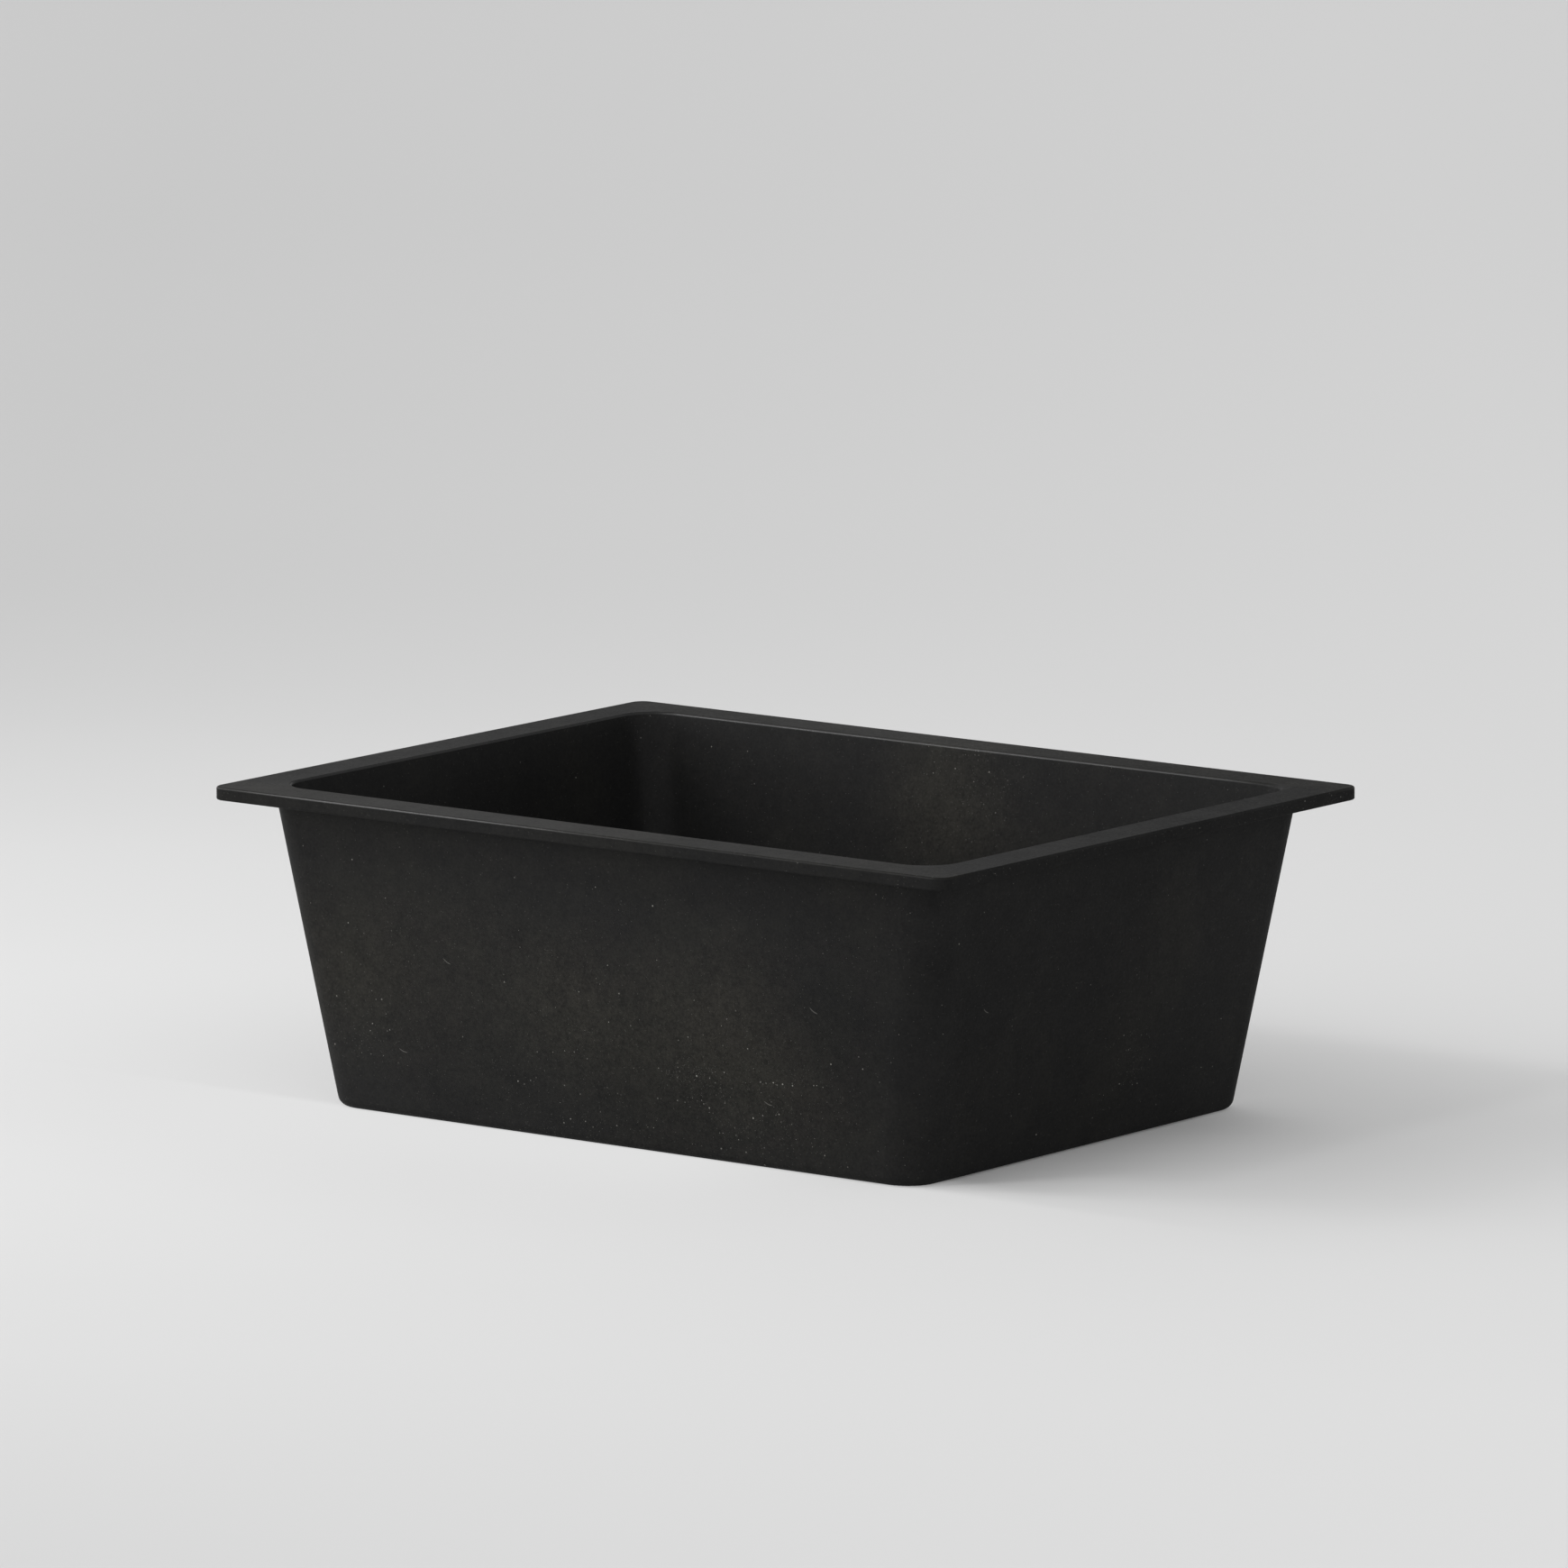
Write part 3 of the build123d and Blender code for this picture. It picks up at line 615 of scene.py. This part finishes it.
def eased(line, cut):
    """Profile whose inner corners are cut: each gives a point a cut before it and one a cut after it."""
    line = np.array(line)
    way = np.diff(line, axis=0)
    way = way / np.linalg.norm(way, axis=1, keepdims=True)
    cuts = np.stack((line[1:-1] - cut * way[:-1], line[1:-1] + cut * way[1:]), axis=1)
    return np.concatenate((line[:1], cuts.reshape(-1, 2), line[-1:]))


def turned(radii, heights):
    """Closed surface turned about the upright axis.

    Row i of the grids is a point of a closed profile, column j an equal step of angle. The point lies at its radius
    times the angle's cosine and sine, and at its height. The last row joins the first, and so does the last column.
    """
    rows, columns = radii.shape
    angle = np.arange(columns) * (2 * np.pi / columns)
    points = np.stack((radii * np.cos(angle), radii * np.sin(angle), heights), axis=-1)
    i, j = np.indices((rows, columns))
    onward, beside = (i + 1) % rows, (j + 1) % columns
    faces = np.stack((i * columns + j, i * columns + beside, onward * columns + beside, onward * columns + j), axis=-1)
    return points.reshape(-1, 3), faces.reshape(-1, 4)


# Waste body: radii, heights above the outlet's mouth, and the cut of its corners.
BARREL_RADIUS = 0.0468
BORE_RADIUS = 0.0438
THROAT_RADIUS = 0.02
CONE_TOP = 0.026
CONE_WALL = 0.0015
LIP_HEIGHT = 0.006
BODY_CUT = 0.0006
BODY_STEPS = 144
THREAD_STEPS = 97

# Its hub and ribs: radii, and heights above the foot.
HUB_RADIUS = 0.01
HUB_BOTTOM = 0.0215
HUB_TOP = 0.0335
HUB_CUT = 0.0004
HUB_STEPS = 64
NUT_RADIUS = 0.0065
NUT_TOP = 0.0315
BOLT_RADIUS = 0.0045
RIB_COUNT = 3
RIB_TOP = 0.0285
RIB_START = 0.0085
RIB_ENDS = (0.0272, 0.0409)
RIB_HALF = 0.002
SHARP_ANGLE = math.radians(35)


def threaded_shell(look):
    """Outlet, cone, barrel and rim of the waste body, turned about the upright axis.

    On the outlet the radius falls below the crest by the thread's depth times its groove. The groove is a triangle wave
    of the height in pitches less the angle in turns, cut flat at crest and root. It fades out over the last pitch, and
    the mouth is chamfered at 45 degrees.
    """
    steepness, crest_flat, run_out = 1.3, 0.15, 0.4
    low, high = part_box("waste_body")
    crest, spigot = look.outlet_radius, look.outlet_length
    turn = np.arange(BODY_STEPS) / BODY_STEPS
    rise = np.linspace(0.0, spigot, THREAD_STEPS)[:, None] + 0 * turn
    wave = abs(2 * ((rise / look.pitch - turn) % 1) - 1)
    groove = np.clip(steepness * wave - crest_flat, 0, 1) * np.clip((spigot - rise) / look.pitch - run_out, 0, 1)
    thread = np.minimum(crest - look.depth * groove, crest - look.depth + rise)
    top = high[2] - low[2]
    lip, lip_radius = top - LIP_HEIGHT, high[0]
    line = eased([
        (crest, spigot), (BARREL_RADIUS, CONE_TOP), (BARREL_RADIUS, lip), (lip_radius, lip), (lip_radius, top),
        (BORE_RADIUS, top), (BORE_RADIUS, CONE_TOP + CONE_WALL), (THROAT_RADIUS, spigot + CONE_WALL),
        (THROAT_RADIUS, 0.0), (crest - look.depth, 0.0),
    ], BODY_CUT)[1:-1]
    radii = np.concatenate((thread, line[:, :1] + 0 * turn))
    heights = np.concatenate((rise, line[:, 1:] + 0 * turn))
    return turned(radii, heights + low[2])


def hub():
    """Hub of the waste body: a ring with a pocket for its nut below and a hole for the bolt above, turned.

    Its profile starts and ends at half height on the outside.
    """
    half_way = (HUB_RADIUS, (HUB_BOTTOM + HUB_TOP) / 2)
    line = eased([
        half_way, (HUB_RADIUS, HUB_TOP), (BOLT_RADIUS, HUB_TOP), (BOLT_RADIUS, NUT_TOP), (NUT_RADIUS, NUT_TOP),
        (NUT_RADIUS, HUB_BOTTOM), (HUB_RADIUS, HUB_BOTTOM), half_way,
    ], HUB_CUT)[:-1]
    around = np.zeros(HUB_STEPS)
    return turned(line[:, :1] + around, line[:, 1:] + around)


def spokes():
    """Ribs from the hub to the cone: an upright plate whose outer end slants with the cone, turned by equal angles."""
    side = np.array([
        (RIB_START, HUB_BOTTOM), (RIB_ENDS[0], HUB_BOTTOM), (RIB_ENDS[1], RIB_TOP), (RIB_START, RIB_TOP),
    ])
    corners = len(side)
    x, z = np.tile(side.T, 2)
    y = np.repeat((-RIB_HALF, RIB_HALF), corners)
    ribs = np.arange(RIB_COUNT)[:, None]
    angle = ribs * (2 * np.pi / RIB_COUNT)
    cos, sin = np.cos(angle), np.sin(angle)
    points = np.stack((cos * x - sin * y, sin * x + cos * y, z + 0 * angle), axis=-1)
    corner = np.arange(corners)
    onward = np.roll(corner, -1)
    edges = np.stack((corner, corner + corners, onward + corners, onward), axis=1)
    faces = np.concatenate((edges, [corner, corner[::-1] + corners]))
    return points.reshape(-1, 3), (faces + 2 * corners * ribs[:, None]).reshape(-1, corners)


def joined(*surfaces):
    """Several surfaces as one list of points and one of faces."""
    starts = np.cumsum([0] + [len(points) for points, _ in surfaces])
    faces = [faces + start for (_, faces), start in zip(surfaces, starts)]
    return np.concatenate([points for points, _ in surfaces]), np.concatenate(faces)


def threaded_body(look):
    """Waste body with the thread of its outlet, in pale moulded plastic."""
    piece = new_piece("threaded_waste_body", *joined(threaded_shell(look), hub(), spokes()))
    piece.data.polygons.foreach_set("use_smooth", np.ones(len(piece.data.polygons), bool))
    piece.data.set_sharp_from_angle(angle=SHARP_ANGLE)
    piece.data.materials.append(moulded("body_plastic", (0.7, 0.7, 0.68), 0.5))
    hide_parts("waste_body")
    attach(piece, "bowl")


class SINK_OT_bowl(bpy.types.Operator):
    """Gives the bowl its granite and the inserts their brass"""

    bl_idname = "sink.bowl"
    bl_label = "Granite bowl"

    def execute(self, context):
        granite(context.scene.sink_granite)
        brass("rim_inserts", "body_insert")
        return {"FINISHED"}


class SINK_OT_waste(bpy.types.Operator):
    """Finishes the pieces of the waste below the basket"""

    bl_idname = "sink.waste"
    bl_label = "Waste"

    def execute(self, context):
        steel("cup_steel", 0.62, 0.3, 1600.0, "strainer_cup")
        moulded("gasket_rubber", (0.03, 0.03, 0.03), 0.7, "flange_gasket", "body_gasket", "bolt_washer")
        threaded_body(context.scene.sink_waste)
        steel("bolt_steel", 0.5, 0.35, 2500.0, "clamp_bolt")
        return {"FINISHED"}


class SINK_OT_basket(bpy.types.Operator):
    """Finishes the lift-out basket"""

    bl_idname = "sink.basket"
    bl_label = "Basket"

    def execute(self, context):
        steel("basket_steel", 0.6, 0.28, 1200.0, "basket_cup")
        moulded("bush_plastic", (0.05, 0.05, 0.05), 0.45, "guide_bush")
        return {"FINISHED"}


class SINK_OT_stopper(bpy.types.Operator):
    """Finishes the stopper on its spindle"""

    bl_idname = "sink.stopper"
    bl_label = "Stopper"

    def execute(self, context):
        steel("stopper_steel", 0.52, 0.3, 2500.0, "seal_plate", "stopper_spindle", "spindle_nut")
        steel("knob_steel", 0.68, 0.16, 3000.0, "stopper_knob")
        moulded("seal_rubber", (0.02, 0.02, 0.02), 0.6, "stopper_seal", "spindle_ring")
        return {"FINISHED"}


# Painted light and shade on the floor: its tones from near to far, at the left and at the right of the view, brighter
# and darker where the light falls unevenly; and how far they reach: the start before the origin, the depth and the
# width.
LEFT_PAINTED_LIGHT = (
    (0.0, 0.84), (0.06, 0.91), (0.1, 0.95), (0.15, 1.0), (0.19, 1.02), (0.245, 0.98), (0.3, 0.92), (0.36, 0.83),
    (0.43, 0.768), (0.51, 0.776), (0.64, 0.805), (0.8, 0.841), (1.0, 0.899),
)
RIGHT_PAINTED_LIGHT = (
    (0.0, 1.04), (0.065, 0.99), (0.2, 0.97), (0.3, 0.95), (0.43, 0.934), (0.6, 0.931), (0.8, 0.949), (1.0, 0.982),
)
VIEW_START = 1.5
VIEW_DEPTH = 9.0
VIEW_WIDTH = 1.4

# Painted light and shade on the floor: it shows more of its plain colour ahead of the foot, painted light over the
# shade that falls there, and less beside it at the right, a painted deeper shadow. Each pair is where a change begins
# and ends, in metres.
PAINTED_LIGHT_AHEAD = 0.6
AHEAD_STARTS = (-0.01, 0.01)
AHEAD_ENDS = (0.03, 0.36)
AHEAD_SIDES = (0.3, 0.6)
AHEAD_RIGHT = (0.05, 0.25)
AHEAD_RIGHT_LOSS = 0.55
PAINTED_SHADE_BESIDE = 0.32
BESIDE_STARTS = (-0.01, 0.01)
BESIDE_ENDS = (-0.03, 0.16)
BESIDE_NEAR = (-0.18, -0.14)
BESIDE_FAR = (0.1, 0.26)

FLOOR_RADIUS = 40.0
FLOOR_STEPS = 128


def floor_paper(look):
    """Pale paper with slow tones of painted light and shade, seen through from below.

    For the camera, in mirrors and through glass a share of it shows its plain colour, and the rest takes the light. The
    share is raised ahead of the foot, painted light over the shade there, and lowered beside it at the right, a painted
    deeper shadow.
    """
    finish = Finish("floor_paper", roughness=0.9, specular_ior_level=0.2)
    cos, sin = math.cos(look.azimuth), math.sin(look.azimuth)
    x = finish.axis("X")
    y = x.other("Y")
    beyond = (y * cos - x * sin + VIEW_START) / VIEW_DEPTH
    across = (x * cos + y * sin) / VIEW_WIDTH + 0.5
    # Painted light and shade across the floor, brighter and darker where the light falls unevenly.
    tone = finish.mix(across, finish.ramp(beyond, LEFT_PAINTED_LIGHT), finish.ramp(beyond, RIGHT_PAINTED_LIGHT))
    paper = finish.vector("MULTIPLY", tone, look.floor)
    finish.set(base_color=paper)

    # Painted light ahead of the foot, over the shade that falls there: the floor shows more of its plain colour.
    ahead = -look.opening[1] / 2 - y
    front = ahead.between(*AHEAD_STARTS) * (1 - ahead.between(*AHEAD_ENDS)) * (1 - abs(x).between(*AHEAD_SIDES))
    front = front * (1 - AHEAD_RIGHT_LOSS * x.between(*AHEAD_RIGHT))
    # Painted shade beside the foot at the right: the floor shows less of its plain colour, deepening the shadow there.
    beside = x - look.opening[0] / 2
    side = beside.between(*BESIDE_STARTS) * (1 - beside.between(*BESIDE_ENDS))
    side = side * y.between(*BESIDE_NEAR) * (1 - y.between(*BESIDE_FAR))
    share = look.own_light + PAINTED_LIGHT_AHEAD * front - PAINTED_SHADE_BESIDE * side

    path = finish.node("ShaderNodeLightPath", output="Is Camera Ray")
    seen = path + path.other("Is Glossy Ray") + path.other("Is Transmission Ray")
    plain = finish.node("ShaderNodeBsdfPrincipled", None, {
        "Base Color": grey(0.0), "Specular IOR Level": 0.0, "Emission Color": paper,
        "Emission Strength": look.plain_level,
    })
    shaded = Signal(finish, finish.shader.outputs[0])
    above = finish.node("ShaderNodeMixShader", None, {0: seen * share, 1: shaded, 2: plain})
    below = finish.node("ShaderNodeBsdfTransparent")
    from_below = finish.node("ShaderNodeNewGeometry", output="Backfacing")
    shown = finish.node("ShaderNodeMixShader", None, {0: from_below, 1: above, 2: below})
    finish.feed(finish.tree.nodes["Material Output"].inputs["Surface"], shown)
    return finish.material


def floor(look):
    """Large pale floor just under the foot, open under the hollow so that light reaches the underside.

    A ring between two loops with the same steps of angle: a wide circle, and a rounded rectangle whose points are the
    middles of its corners plus the corner radius times the angle's cosine and sine.
    """
    angle = (np.arange(FLOOR_STEPS) + 0.5) * (2 * np.pi / FLOOR_STEPS)
    around = np.stack((np.cos(angle), np.sin(angle)), axis=1)
    opening = np.sign(around) * (np.array(look.opening) / 2 - look.opening_corner) + look.opening_corner * around
    loops = np.concatenate((opening, FLOOR_RADIUS * around))
    points = np.column_stack((loops, np.full(len(loops), -look.gap)))
    inner = np.arange(FLOOR_STEPS)
    onward = np.roll(inner, -1)
    faces = np.stack((inner, inner + FLOOR_STEPS, onward + FLOOR_STEPS, onward), axis=1)
    piece = new_piece("floor", points, faces)
    piece.data.materials.append(floor_paper(look))


def lamp(name, way, distance, width, height, level):
    """Soft panel that shines on the origin; level is how brightly it lights a white floor there."""
    way = Vector(way).normalized()
    data = bpy.data.lights.new(name, "AREA")
    data.shape = "RECTANGLE"
    data.size = width
    data.size_y = height
    data.energy = level * (math.pi * distance) ** 2 / way.z
    item = bpy.data.objects.new(name, data)
    item.location = distance * way
    item.rotation_mode = "QUATERNION"
    item.rotation_quaternion = way.to_track_quat("Z", "Y")
    bpy.context.scene.collection.objects.link(item)


def surround(look):
    """World light: even from all round, and more from left, right and front by the square of a ray's share that way."""
    world = bpy.data.worlds.new("surround")
    world.use_nodes = True
    nodes = Nodes(world.node_tree)
    way = nodes.node("ShaderNodeTexCoord", output="Generated")
    x = nodes.node("ShaderNodeSeparateXYZ", None, {"Vector": way}, "X")
    right = x.math("MAXIMUM", x, 0.0)
    left = right - x
    y = x.other("Y")
    fore = y.math("MAXIMUM", y, 0.0) - y
    sides = look.left_level * left * left + look.right_level * right * right + look.fore_level * fore * fore
    background = nodes.tree.nodes["Background"]
    nodes.feed(background.inputs["Color"], grey(1.0))
    nodes.feed(background.inputs["Strength"], sides + look.around_level)
    return world


def camera(look):
    """Camera at the photo's angle, level, with the aim point in the middle of the picture."""
    data = bpy.data.cameras.new("camera")
    data.sensor_width = 36.0
    data.lens = look.lens
    data.clip_end = 200.0
    item = bpy.data.objects.new("camera", data)
    a, e = look.azimuth, look.elevation
    back = Vector((math.sin(a) * math.cos(e), -math.cos(a) * math.cos(e), math.sin(e)))
    item.location = Vector(look.aim) + back * look.distance
    item.rotation_mode = "QUATERNION"
    item.rotation_quaternion = (-back).to_track_quat("-Z", "Y")
    bpy.context.scene.collection.objects.link(item)
    bpy.context.scene.camera = item


class SINK_OT_studio(bpy.types.Operator):
    """Lays the floor and sets up the light and the camera"""

    bl_idname = "sink.studio"
    bl_label = "Studio"

    def execute(self, context):
        look = context.scene.sink_studio
        floor(look)
        camera(look)
        lamp("front_panel", look.front_way, look.reach, look.front_size, look.front_size, look.front_level)
        lamp("side_panel", look.side_way, look.reach, look.side_size, look.side_size, look.side_level)
        lamp("lit_wall", look.wall_way, look.wall_reach, *look.wall_size, look.wall_level)
        context.scene.world = surround(look)
        context.scene.view_settings.view_transform = "Standard"
        return {"FINISHED"}


class SINK_PT_panel(bpy.types.Panel):
    """Lists what builds the sink"""

    bl_label = "Granite sink"
    bl_idname = "SINK_PT_panel"
    bl_space_type = "VIEW_3D"
    bl_region_type = "UI"
    bl_category = "Sink"

    def draw(self, context):
        for operator in OPERATORS:
            self.layout.operator(operator.bl_idname)
        for group in (context.scene.sink_granite, context.scene.sink_waste, context.scene.sink_studio):
            for name in group.bl_rna.properties.keys():
                if name not in ("rna_type", "name"):
                    self.layout.prop(group, name)


OPERATORS = (SINK_OT_bowl, SINK_OT_waste, SINK_OT_basket, SINK_OT_stopper, SINK_OT_studio)
CLASSES = (GraniteLook, WasteLook, StudioLook, *OPERATORS, SINK_PT_panel)


def register():
    """Registers the classes and hangs the settings on the scene."""
    for cls in CLASSES:
        bpy.utils.register_class(cls)
    bpy.types.Scene.sink_granite = bpy.props.PointerProperty(type=GraniteLook)
    bpy.types.Scene.sink_waste = bpy.props.PointerProperty(type=WasteLook)
    bpy.types.Scene.sink_studio = bpy.props.PointerProperty(type=StudioLook)


def unregister():
    """Takes back what register did."""
    del bpy.types.Scene.sink_studio
    del bpy.types.Scene.sink_waste
    del bpy.types.Scene.sink_granite
    for cls in reversed(CLASSES):
        bpy.utils.unregister_class(cls)


def main():
    """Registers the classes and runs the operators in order."""
    register()
    bpy.ops.sink.bowl()
    bpy.ops.sink.waste()
    bpy.ops.sink.basket()
    bpy.ops.sink.stopper()
    bpy.ops.sink.studio()


if __name__ == "__main__":
    main()
